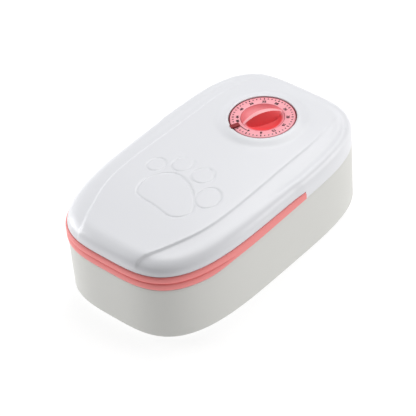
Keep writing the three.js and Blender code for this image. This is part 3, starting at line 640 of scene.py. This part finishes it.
def fold_edge(piece, chosen, height):
    """Extrudes the chosen open edges straight down or up to a height, in mm."""
    mesh = piece.data
    uses = {}
    for face in mesh.polygons:
        for key in face.edge_keys:
            uses[key] = uses.get(key, 0) + 1
    select_none_of(piece, "EDGE")

    def centred(index):
        point = mesh.vertices[index].co / MM
        return Vector((point.x, point.y - CENTRE_Y, point.z))

    for edge in mesh.edges:
        is_open = uses.get(tuple(sorted(edge.vertices)), 0) == 1
        edge.select = is_open and all(chosen(centred(index)) for index in edge.vertices)
    bpy.ops.object.mode_set(mode="EDIT")
    bpy.ops.mesh.extrude_region_move(TRANSFORM_OT_translate={"value": (0, 0, -MM)})
    bpy.ops.object.mode_set(mode="OBJECT")
    for vertex in mesh.vertices:
        if vertex.select:
            vertex.co.z = height * MM


def barrel(name, x_from, x_to, web_up):
    """A hinge barrel with its web to the wall, bored for the pin."""
    wall_y = HALF_LENGTH - 4.5
    up = 1 if web_up else -1
    far_z = HINGE_Z + KNUCKLE_WEB * up
    outline = [(wall_y, HINGE_Z + 0.35 * up), (wall_y, far_z), (HALF_LENGTH - 0.4, far_z),
               (HALF_LENGTH + 0.8, (far_z + HINGE_Z) / 2)]
    start = math.radians(50)
    for i in range(25):
        angle = start - (start + math.pi - 0.12) * i / 24
        z = KNUCKLE_RADIUS * math.sin(angle) * up
        outline.append((HINGE_Y + KNUCKLE_RADIUS * math.cos(angle), HINGE_Z + z))
    long = x_to - x_from
    ends = [(0.0, 0), (0.94, 0), (1.0, 0.3), (1.0, long - 0.3), (0.94, long), (0.0, long)]
    centre = (HINGE_Y - 1.5, HINGE_Z)

    def place(share, row):
        y, z = outline[int(round(share * len(outline))) % len(outline)]
        size, along_x = ends[row]
        return x_from + along_x, centre[0] + (y - centre[0]) * size, centre[1] + (z - centre[1]) * size
    piece = rolled(name, len(outline), len(ends) - 1, place)
    clear_selection()
    bpy.ops.mesh.primitive_cylinder_add(vertices=24, radius=1.75 * MM, depth=(long + 4) * MM,
                                        location=to_frame((x_from + x_to) / 2, HINGE_Y, HINGE_Z),
                                        rotation=(0, math.pi / 2, 0))
    drill = bpy.context.object
    apply_modifier(piece, "BOOLEAN", operation="DIFFERENCE", object=drill)
    bpy.data.objects.remove(drill)
    smooth(piece, 35)
    return piece


class FEEDER_OT_lid(bpy.types.Operator):
    """The lid's moulding with its crease, paw and dial rim, and its hinge barrels."""

    bl_idname = "feeder.lid"
    bl_label = "Lid"

    def execute(self, context):
        sizes = context.scene.feeder_sizes
        finished(lid_top(sizes), finish("gloss_white_abs"), "lid", ["lid_shell"])
        for side, spans in (("right", (6, 14)), ("left", (-14, -6))):
            piece = barrel(f"lid_barrel_{side}", *spans, web_up=True)
            finished(piece, finish("gloss_white_abs"), "lid")
        return {"FINISHED"}


# ---- Base ----------------------------------------------------------------------------------
BASE_EDGE = [(-122, 50.8), (-78, 50.8), (-66, 52.1), (-54, 53.8), (-40, 54.4), (TRAY_REAR - 4, SEAM),
             (122, SEAM)]


def base_edge(y):
    """Height of the base's upper edge at y."""
    return float(along(BASE_EDGE, y))


def shell_rows():
    """(inset, height above the floor, share of the wall) down the outside, over the edge and inside."""
    rows = [(inset, BASE_FLOOR, 0) for inset in (68, 45, 20, 8)]
    for step in range(7):
        angle = math.radians(15 * step)
        inset = BASE_INSET + BASE_ROUNDING * (1 - math.sin(angle))
        rows.append((inset, BASE_FLOOR + BASE_ROUNDING * (1 - math.cos(angle)), 0))
    wall_foot = 8.0
    rows += [(BASE_INSET, wall_foot, up) for up in (0.3, 0.6, 0.9, 0.985)]
    rows += [(BASE_INSET + 0.15, wall_foot, 0.996), (BASE_INSET + 0.5, wall_foot, 1.0)]
    rows += [(BASE_INSET + 2.0, wall_foot, 1.0), (BASE_INSET + 2.3, wall_foot, 0.996)]
    rows += [(BASE_INSET + BASE_WALL, wall_foot, up) for up in (0.98, 0.5, 0.0)]
    inside = BASE_FLOOR + BASE_WALL
    rows += [(BASE_INSET + 3.2, inside + 1.2, 0), (BASE_INSET + 5.5, inside, 0)]
    rows += [(inset, inside, 0) for inset in (20, 45, 68)]
    return rows


def base_body():
    """The base's moulding."""
    rows = shell_rows()

    def place(share, row):
        inset, height, up = rows[row]
        x, y = outline_point(2 * math.pi * share, inset)
        if row in (0, len(rows) - 1):
            x, y = 0.0, 0.0
        return x, y, height + (base_edge(y) - height) * up
    piece = rolled("base_body", 240, len(rows) - 1, place)
    smooth(piece, 50)
    return piece


def bulkhead():
    """The wall between the tray and the room behind it."""
    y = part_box("latch_striker")[0].y / MM - CENTRE_Y - 0.3
    clear_selection()
    bpy.ops.mesh.primitive_cube_add(size=1, location=to_frame(0, y - 1.2, (SEAM + 2.4) / 2))
    piece = bpy.context.object
    piece.name = "base_bulkhead"
    piece.scale = (2 * (width_at(y, 3.2) + 0.4) * MM, 2.4 * MM, (SEAM - 4.8) * MM)
    place_applied(piece)
    apply_modifier(piece, "BEVEL", width=0.4 * MM, segments=3)
    smooth(piece)
    return piece


class FEEDER_OT_base(bpy.types.Operator):
    """The base's moulding, its bulkhead and its hinge barrels."""

    bl_idname = "feeder.base"
    bl_label = "Base"

    def execute(self, context):
        finished(base_body(), finish("satin_white_abs"), "base", ["base_shell"])
        finished(bulkhead(), finish("satin_white_abs"), "base")
        for place, low, high in (("inner", 14.4, 21), ("outer", 29, 34)):
            for side, spans in (("right", (low, high)), ("left", (-high, -low))):
                piece = barrel(f"base_barrel_{place}_{side}", *spans, web_up=False)
                finished(piece, finish("satin_white_abs"), "base")
        return {"FINISHED"}


# ---- Tray ----------------------------------------------------------------------------------
TRAY_COLUMNS = 260
TRAY_STRAIGHT = 50
TRAY_MIDDLE = 69    # inset that marks the middle of the bowl


def tray_point(share, inset):
    """Round the tray: the body's outline in front, and straight across behind."""
    rear = TRAY_REAR - inset
    corner = math.atan2(rear, width_at(rear, inset))
    arc_share = 1 - TRAY_STRAIGHT / TRAY_COLUMNS
    if share <= arc_share:
        angle = corner - (math.pi + 2 * corner) * share / arc_share
        return outline_point(angle, inset)
    back = (share - arc_share) / (1 - arc_share)
    half = width_at(rear, inset)
    return -half + 2 * half * back, rear


def band_rows():
    """(kind, inset, height or place) from the middle of the bowl's floor, over the rim, and back below."""
    top = TRAY_HIGH.z
    rows = [("flat", inset, BOWL_FLOOR) for inset in (TRAY_MIDDLE, 55, 40, 28)]
    for step in range(9):
        angle = math.radians(90 * step / 8)
        inset = RIM_WIDTH + BOWL_ROUNDING * (1 - math.sin(angle))
        rows.append(("flat", inset, BOWL_FLOOR + BOWL_ROUNDING * (1 - math.cos(angle))))
    rows += [("flat", RIM_WIDTH, 48), ("flat", RIM_WIDTH, top - 1.1), ("flat", RIM_WIDTH - 0.2, top - 0.4)]
    rows += [("flat", inset, top) for inset in (7.2, 3, 1.6)]
    rows += [("upper", 0, s) for s in (0.94, 0.8, 0.6, 0.35, 0.0, -0.35, -0.65, -0.88, -1.0)]
    rows += [("lower", 0, s) for s in (1.0, 0.88, 0.65, 0.35, 0.0, -0.35, -0.65, -0.9)]
    wall = RIM_WIDTH - TRAY_WALL
    rows += [("under", inset, 0.0) for inset in (1.6, 3.5, wall)]
    underside = BOWL_FLOOR - TRAY_WALL
    rounding = BOWL_ROUNDING + TRAY_WALL
    for step in range(7):
        angle = math.radians(90 - 15 * step)
        inset = wall + rounding * (1 - math.sin(angle))
        rows.append(("flat", inset, underside + rounding * (1 - math.cos(angle))))
    rows += [("flat", 40, underside), ("flat", TRAY_MIDDLE, underside)]
    return rows


def tray_body(sizes):
    """The tray with its bowl and the two beads of its band."""
    rows = band_rows()
    groove_height = LID_EDGE - 6
    proud = 1.0

    def place(share, row):
        kind, inset, value = rows[row]
        if kind == "flat" and inset == TRAY_MIDDLE:
            return 0.0, (TRAY_REAR - HALF_LENGTH) / 2, value
        if kind == "flat":
            x, y = tray_point(share, inset)
            return x, y, value
        _, y = tray_point(share, 0)
        low = base_edge(y) + BAND_GAP
        fade = 1 - float(smooth_step(-88, -42, y))
        groove = sizes.groove_depth * fade
        if kind == "under":
            x, y = tray_point(share, inset)
            return x, y, low
        if kind == "upper":
            top, bottom = TRAY_HIGH.z, groove_height
        else:
            top, bottom = groove_height, low
        rounding = proud * (1 - math.sqrt(max(1 - abs(value) ** 3, 0)))
        at_groove = value < 0 if kind == "upper" else value > 0
        depth = rounding * (groove / proud if at_groove else 1.0)
        x, y = tray_point(share, depth)
        return x, y, (top + bottom) / 2 + value * (top - bottom) / 2
    piece = rolled("tray_body", TRAY_COLUMNS, len(rows) - 1, place)
    smooth(piece, 45)
    return piece


class FEEDER_OT_tray(bpy.types.Operator):
    """The food tray, whose rim is the coral band."""

    bl_idname = "feeder.tray"
    bl_label = "Food tray"

    def execute(self, context):
        tray = tray_body(context.scene.feeder_sizes)
        finished(tray, finish("coral_polypropylene"), "base", ["food_tray"])
        return {"FINISHED"}


# ---- Dial ----------------------------------------------------------------------------------
def dial_ring():
    """The printed ring of the dial."""
    inner = KNOB_RADIUS + 0.25
    low = RING_LOW.z
    outer = DIAL_RADIUS
    profile = [(inner, low + 2), (24.3, low + 2), (24.3, low), (outer - 0.3, low), (outer, low + 0.4),
               (outer, DIAL_TOP - 0.7), (outer - 0.15, DIAL_TOP - 0.3), (outer - 0.6, DIAL_TOP),
               (22, DIAL_TOP), (inner + 0.4, DIAL_TOP), (inner + 0.1, DIAL_TOP - 0.1),
               (inner, DIAL_TOP - 0.4), (inner, low + 2)]
    piece = turned("dial_face", profile, 144)
    smooth(piece)
    return piece


def knob_height(u, v):
    """Height of the knob at u across its bar and v along it, and whether that is on the bar."""
    rim = DIAL_TOP - 0.1
    reach = math.hypot(u, v) / KNOB_RADIUS
    bowl = rim - 3.6 * (1 - reach ** 4)
    length = max(1 - (v / (KNOB_RADIUS - 0.2)) ** 2, 0)
    crest = rim + (KNOB_HIGH.z - rim) * length
    lean = -1.6 * length
    half = 1.1 + 0.9 * length
    away = max(abs(u - lean) - half, 0)
    steep = 1.0 if u > lean else 2.4
    bar = crest - 0.06 * (u - lean) ** 2 - steep * away
    return max(bowl, bar) if reach < 0.985 else rim, away == 0 and bar > bowl


def knob():
    """The dished knob with its arched finger bar."""
    rings = 60

    def place(share, row):
        angle = 2 * math.pi * share
        if row >= rings:
            radius = KNOB_RADIUS if row == rings else 0.0
        else:
            radius = (KNOB_RADIUS - 0.05) * (row / (rings - 1))
        u = radius * math.cos(angle)
        v = radius * math.sin(angle)
        height = KNOB_LOW.z + 1.0 if row >= rings else knob_height(u, v)[0]
        x = u * math.cos(FACE_TURN) - v * math.sin(FACE_TURN)
        y = u * math.sin(FACE_TURN) + v * math.cos(FACE_TURN)
        return x, DIAL_Y + y, height
    piece = rolled("knob", 200, rings + 1, place)
    smooth(piece, 30)
    return piece


def colour_knob(piece):
    """Painted light on one pink plastic: a painted highlight in pale on the bar's top, the lit pink of the
    dish behind it, and painted shade with reflected red in coral in front.
    """
    piece.data.materials.append(finish("knob_pink_painted_light"))
    piece.data.materials.append(finish("knob_crest_painted_highlight"))
    for face in piece.data.polygons:
        centre = face.center / MM
        x = centre.x
        y = centre.y - CENTRE_Y - DIAL_Y
        u = x * math.cos(FACE_TURN) + y * math.sin(FACE_TURN)
        v = y * math.cos(FACE_TURN) - x * math.sin(FACE_TURN)
        if knob_height(u, v)[1]:
            face.material_index = 2
        elif u < 0:
            face.material_index = 1


def tick_box(name, radius, angle, length, width, thickness):
    """A small raised print mark that points at the dial's axis."""
    clear_selection()
    x = radius * math.cos(angle)
    y = DIAL_Y + radius * math.sin(angle)
    bpy.ops.mesh.primitive_cube_add(size=1, location=to_frame(x, y, DIAL_TOP + thickness / 2 - 0.02),
                                    rotation=(0, 0, angle))
    piece = bpy.context.object
    piece.name = name
    piece.scale = (length * MM, width * MM, thickness * MM)
    place_applied(piece)
    return piece


def dial_ticks():
    """A mark for each hour round the dial's edge, longer at each numeral."""
    hours = 48
    zero = FACE_TURN - math.pi / 2
    thick = 0.12
    marks = []
    for hour in range(hours):
        longer = hour % 4 == 0
        angle = zero + 2 * math.pi * hour / hours
        length, width = (1.8, 0.9) if longer else (1.3, 0.75)
        marks.append(tick_box("tick", 23.6, angle, length, width, thick))
    start = zero + math.radians(5)
    for step in range(9):
        angle = start + math.radians(20) * step / 8
        marks.append(tick_box("tick", 20.2, angle, 0.5, 1.1, thick))
    marks.append(tick_box("tick", 20.9, start - math.radians(1.2), 1.6, 0.5, thick))
    return joined("dial_ticks", marks)


def numeral(text, angle, radius, size):
    """One numeral, its foot towards the dial's axis, as a thin solid."""
    clear_selection()
    bpy.ops.object.text_add()
    words = bpy.context.object
    words.data.body = text
    words.data.size = size * MM
    words.data.align_x = "CENTER"
    words.data.align_y = "CENTER"
    words.data.extrude = 0.06 * MM
    words.data.offset = 0.14 * MM
    words.data.resolution_u = 3
    x = radius * math.cos(angle)
    y = DIAL_Y + radius * math.sin(angle)
    words.location = to_frame(x, y, DIAL_TOP + 0.05)
    words.rotation_euler = (0, 0, angle - math.pi / 2)
    bpy.ops.object.convert(target="MESH")
    piece = bpy.context.object
    place_applied(piece)
    return piece


def dial_numbers():
    """Hours in fours round the dial."""
    zero = FACE_TURN - math.pi / 2
    hours = [4 * step for step in range(1, 12)]
    radius = 19.9
    size = 3.3
    marks = [numeral(str(hour), zero + math.radians(30) * hour / 4, radius, size) for hour in hours]
    marks.append(numeral("48", zero - math.radians(15), radius, size))
    return joined("dial_numbers", marks)


def pointer():
    """The maroon tab over the dial's edge."""
    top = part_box("pointer_marker")[1].z / MM
    foot = DIAL_TOP + 0.3
    wide = 4.2
    inner = DIAL_RADIUS - 5.6
    outer = POCKET_RADIUS + 0.9
    clear_selection()
    bpy.ops.mesh.primitive_cube_add(size=1)
    piece = bpy.context.object
    piece.name = "pointer_tab"
    piece.scale = (wide * MM, (outer - inner) * MM, (top - foot) * MM)
    middle = (inner + outer) / 2
    turn = Matrix.Rotation(FACE_TURN, 3, "Z")
    place = turn @ Vector((0, -middle, 0))
    piece.location = to_frame(place.x, DIAL_Y + place.y, (top + foot) / 2)
    piece.rotation_euler = (0, 0, FACE_TURN)
    place_applied(piece)
    apply_modifier(piece, "BEVEL", width=0.35 * MM, segments=3)
    smooth(piece)
    return piece


class FEEDER_OT_dial(bpy.types.Operator):
    """The dial's ring and print, its knob and its pointer."""

    bl_idname = "feeder.dial"
    bl_label = "Dial"

    def execute(self, context):
        finished(dial_ring(), finish("pink_dial_abs"), "dial", ["dial_ring"])
        finished(dial_ticks(), finish("dial_ink"), "dial")
        finished(dial_numbers(), finish("dial_ink"), "dial")
        # The knob's coral, pink and pale faces are painted shade, painted light and a painted highlight on
        # one pink plastic
        grip = finished(knob(), finish("knob_coral_painted_shade"), "dial", ["dial_knob"])
        colour_knob(grip)
        finished(pointer(), finish("maroon_and_gap_shade"), "lid", ["pointer_marker"])
        return {"FINISHED"}


# ---- Finishes of the nodes that stay as modelled --------------------------------------------
NODE_FINISHES = {
    "foot_rubber": "foot_rubber",
    "liner_plastic": "white_liner_abs",
    "seal_rubber": "silicone_seal",
    # The maroon is the marker's own colour, and painted shade where the sleeve shows in the gap round the
    # dial
    "marker_plastic": "maroon_and_gap_shade",
    "gear_plastic": "natural_acetal",
    "latch_plastic": "grey_acetal",
    "steel": "bright_steel",
    "board_laminate": "board_laminate",
    "black_resin": "black_resin",
    "copper": "enamelled_copper",
    "battery_sleeve": "battery_sleeve",
}


class FEEDER_OT_works(bpy.types.Operator):
    """Finishes for the feet, hinge, liner, latch and timer works."""

    bl_idname = "feeder.works"
    bl_label = "Finishes of the works"

    def execute(self, context):
        for subpart in frame["record"]["subparts"]:
            chosen = NODE_FINISHES.get(subpart["material_slot"])
            if chosen:
                node = frame["nodes"][subpart["node"]]
                node.data.materials.clear()
                node.data.materials.append(finish(chosen))
        return {"FINISHED"}


# ---- Stage ---------------------------------------------------------------------------------
CAMERA_AZIMUTH = math.radians(43.87)
CAMERA_HEIGHT = math.radians(39.89)
CAMERA_ROLL = math.radians(-4.89)
CAMERA_DISTANCE = 1.435
CAMERA_LENS = 159.0
CAMERA_SHIFT = (-0.01, -0.023)


def camera():
    """A long lens from the front right, above."""
    back = Vector((math.sin(CAMERA_AZIMUTH) * math.cos(CAMERA_HEIGHT),
                   -math.cos(CAMERA_AZIMUTH) * math.cos(CAMERA_HEIGHT), math.sin(CAMERA_HEIGHT)))
    aim = to_frame(0, 0, 40.4)
    across = Vector((0, 0, 1)).cross(back).normalized()
    upward = back.cross(across)
    right = math.cos(CAMERA_ROLL) * across + math.sin(CAMERA_ROLL) * upward
    top = -math.sin(CAMERA_ROLL) * across + math.cos(CAMERA_ROLL) * upward
    turn = Matrix((right, top, back)).transposed().to_4x4()
    bpy.ops.object.camera_add()
    made = bpy.context.object
    made.name = "feeder_camera"
    made.matrix_world = Matrix.Translation(aim + back * CAMERA_DISTANCE) @ turn
    made.data.lens = CAMERA_LENS
    made.data.sensor_width = 36.0
    made.data.shift_x, made.data.shift_y = CAMERA_SHIFT
    made.data.clip_end = 20
    bpy.context.scene.camera = made


def soft_light(name, place, size, power, colour=(1, 1, 1)):
    """A square light aimed at the middle of the feeder."""
    bpy.ops.object.light_add(type="AREA", location=place)
    lamp = bpy.context.object
    lamp.name = name
    lamp.data.size = size
    lamp.data.energy = power
    lamp.data.color = colour
    aim = to_frame(0, 0, 40) - Vector(place)
    lamp.rotation_euler = aim.to_track_quat("-Z", "Y").to_euler()


def white_floor():
    """A pale matt floor."""
    clear_selection()
    bpy.ops.mesh.primitive_plane_add(size=12, location=(0, 0, -0.0002))
    floor = bpy.context.object
    floor.name = "floor"
    material, tree, output = new_material("white_paper")
    shader = add_node(tree, "ShaderNodeBsdfDiffuse", Color=(0.3, 0.3, 0.3, 1))
    glow = add_node(tree, "ShaderNodeEmission", Color=(1, 1, 1, 1), Strength=0.8)
    both = add_node(tree, "ShaderNodeAddShader")
    tree.links.new(shader.outputs[0], both.inputs[0])
    tree.links.new(glow.outputs[0], both.inputs[1])
    tree.links.new(both.outputs[0], output.inputs["Surface"])
    floor.data.materials.append(material)


class FEEDER_OT_stage(bpy.types.Operator):
    """Camera, lights and floor."""

    bl_idname = "feeder.stage"
    bl_label = "Stage"

    def execute(self, context):
        clear_selection()
        camera()
        world = bpy.data.worlds.new("white_room")
        context.scene.world = world
        world.use_nodes = True
        world.node_tree.nodes["Background"].inputs["Color"].default_value = (1, 1, 1, 1)
        world.node_tree.nodes["Background"].inputs["Strength"].default_value = 0.2
        soft_light("top_window", (-0.2, 0.8, 1.6), 1.3, 22)
        soft_light("left_window", (-1.4, -0.5, 0.5), 0.9, 16)
        soft_light("right_window", (1.3, 1.2, 0.5), 0.9, 13, (1, 0.99, 0.98))
        white_floor()
        context.scene.view_settings.view_transform = "Standard"
        return {"FINISHED"}


class FEEDER_PT_panel(bpy.types.Panel):
    """Buttons and settings of the feeder."""

    bl_idname = "FEEDER_PT_panel"
    bl_label = "Pet feeder"
    bl_space_type = "VIEW_3D"
    bl_region_type = "UI"
    bl_category = "Feeder"

    def draw(self, context):
        for group in (context.scene.feeder_sizes, context.scene.feeder_colours):
            for name in group.bl_rna.properties.keys():
                if name not in ("rna_type", "name"):
                    self.layout.prop(group, name)
        for operator in PIECE_OPERATORS:
            self.layout.operator(operator.bl_idname)


PIECE_OPERATORS = (FEEDER_OT_stage, FEEDER_OT_base, FEEDER_OT_tray, FEEDER_OT_lid, FEEDER_OT_dial,
                   FEEDER_OT_works)
CLASSES = (FeederSizes, FeederColours) + PIECE_OPERATORS + (FEEDER_PT_panel,)


def register():
    """Registers the classes and puts the settings on the scene."""
    for entry in CLASSES:
        bpy.utils.register_class(entry)
    bpy.types.Scene.feeder_sizes = bpy.props.PointerProperty(type=FeederSizes)
    bpy.types.Scene.feeder_colours = bpy.props.PointerProperty(type=FeederColours)


def unregister():
    """Takes the settings and the classes away."""
    del bpy.types.Scene.feeder_colours
    del bpy.types.Scene.feeder_sizes
    for entry in reversed(CLASSES):
        bpy.utils.unregister_class(entry)


def main():
    """Builds everything."""
    register()
    bpy.ops.feeder.stage()
    bpy.ops.feeder.base()
    bpy.ops.feeder.tray()
    bpy.ops.feeder.lid()
    bpy.ops.feeder.dial()
    bpy.ops.feeder.works()


if __name__ == "__main__":
    main()
